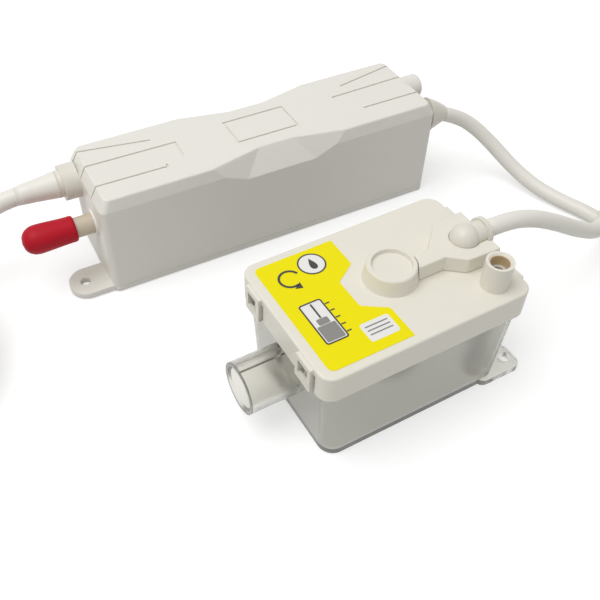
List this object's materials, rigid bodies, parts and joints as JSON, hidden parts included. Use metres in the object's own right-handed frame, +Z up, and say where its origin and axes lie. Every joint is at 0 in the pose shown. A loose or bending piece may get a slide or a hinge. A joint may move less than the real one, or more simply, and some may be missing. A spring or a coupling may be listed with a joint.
{
  "type": "condensate pump",
  "caption": "Mini condensate pump for an air conditioner: long waisted solenoid pump on ears, and a clear float reservoir wired to it.",
  "frame": {"origin": "centre of the pump's base plate, on the surface that the part stands on", "axes": "+X along the pump towards its suction end, +Y away from the reservoir, +Z up"},
  "size_m": [0.4101, 0.1626, 0.0546],
  "materials": {
    "case_plastic": "fine moulded satin ABS, ivory",
    "lid_plastic": "moulded satin ABS, off-white",
    "clear_plastic": "clear smoked polycarbonate, moulded",
    "fitting_plastic": "moulded nylon, cream",
    "cap_rubber": "soft red vinyl dust cap",
    "cable_grey": "smooth pale grey PVC sheath",
    "cable_white": "smooth off-white PVC sheath",
    "core_wire": "PVC insulated cores",
    "steel": "bright steel",
    "zinc_screw": "zinc plated",
    "yoke_steel": "zinc plated sheet steel",
    "copper_winding": "enamelled copper under clear tape",
    "bobbin_nylon": "glass filled nylon, black",
    "head_plastic": "glass filled nylon, grey",
    "valve_rubber": "black nitrile",
    "isolator_rubber": "soft black rubber",
    "hose_silicone": "translucent silicone",
    "board_green": "green solder mask",
    "component_black": "black moulded package",
    "component_blue": "blue capacitor case",
    "terminal_green": "green terminal block",
    "fuse_glass": "glass fuse with metal ends",
    "float_foam": "closed cell foam, dark grey",
    "magnet": "sintered ferrite",
    "seal_rubber": "grey sealing gasket"
  },
  "bodies": {
    "root": {"base_plate": "case_plastic", "casing": "case_plastic", "casing_screws": "zinc_screw", "outlet_nozzle": "fitting_plastic", "inlet_nozzle": "fitting_plastic", "mains_gland": "fitting_plastic", "signal_gland": "fitting_plastic", "coil_bobbin": "bobbin_nylon", "coil_winding": "copper_winding", "coil_yoke": "yoke_steel", "guide_tube": "steel", "piston_spring": "steel", "suction_head": "head_plastic", "delivery_head": "head_plastic", "delivery_spring": "steel", "valve_seat": "head_plastic", "head_seals": "valve_rubber", "isolator_rings": "isolator_rubber", "inlet_hose": "hose_silicone", "outlet_hose": "hose_silicone", "circuit_board": "board_green", "capacitor": "component_blue", "terminal_block": "terminal_green", "fuse": "fuse_glass", "controller_chip": "component_black", "sensor_header": "fitting_plastic", "board_screws": "zinc_screw", "mains_leads": "core_wire", "signal_leads": "core_wire", "tank": "clear_plastic", "mains_cable": "cable_white", "mains_cable_coil": "cable_white", "mains_cores": "core_wire", "sensor_cable": "cable_grey", "sensor_cable_coil": "cable_grey"},
    "lid": {"lid": "lid_plastic", "lid_seal": "seal_rubber", "sensor_cover": "lid_plastic", "sensor_board": "board_green", "float_clip": "steel", "lid_gland": "fitting_plastic", "gland_ring": "fitting_plastic", "lid_lead": "cable_grey", "suction_pipe": "hose_silicone", "strainer": "fitting_plastic", "sensor_cable_lid": "cable_grey"},
    "float": {"float": "float_foam", "float_magnet": "magnet"},
    "cap": {"outlet_cap": "cap_rubber"},
    "piston": {"piston": "steel"},
    "delivery_valve": {"delivery_valve": "valve_rubber"},
    "suction_valve": {"suction_valve": "valve_rubber"}
  },
  "joints": [
    {"name": "lid_lift", "type": "slide", "parent": "root", "child": "lid", "axis": [0, 0, 1], "range_m": [0, 0.045]},
    {"name": "float_rise", "type": "slide", "parent": "lid", "child": "float", "axis": [0, 0, 1], "range_m": [0, 0.014]},
    {"name": "cap_pull", "type": "slide", "parent": "root", "child": "cap", "axis": [-1, 0, 0], "range_m": [0, 0.02]},
    {"name": "piston_stroke", "type": "slide", "parent": "root", "child": "piston", "axis": [1, 0, 0], "range_m": [0, 0.003], "stiffness_N_per_m": 250, "deforming": ["piston_spring"]},
    {"name": "delivery_valve_lift", "type": "slide", "parent": "root", "child": "delivery_valve", "axis": [-1, 0, 0], "range_m": [0, 0.001], "stiffness_N_per_m": 20, "deforming": ["delivery_spring"]},
    {"name": "suction_valve_lift", "type": "slide", "parent": "piston", "child": "suction_valve", "axis": [-1, 0, 0], "range_m": [0, 0.0008]}
  ]
}
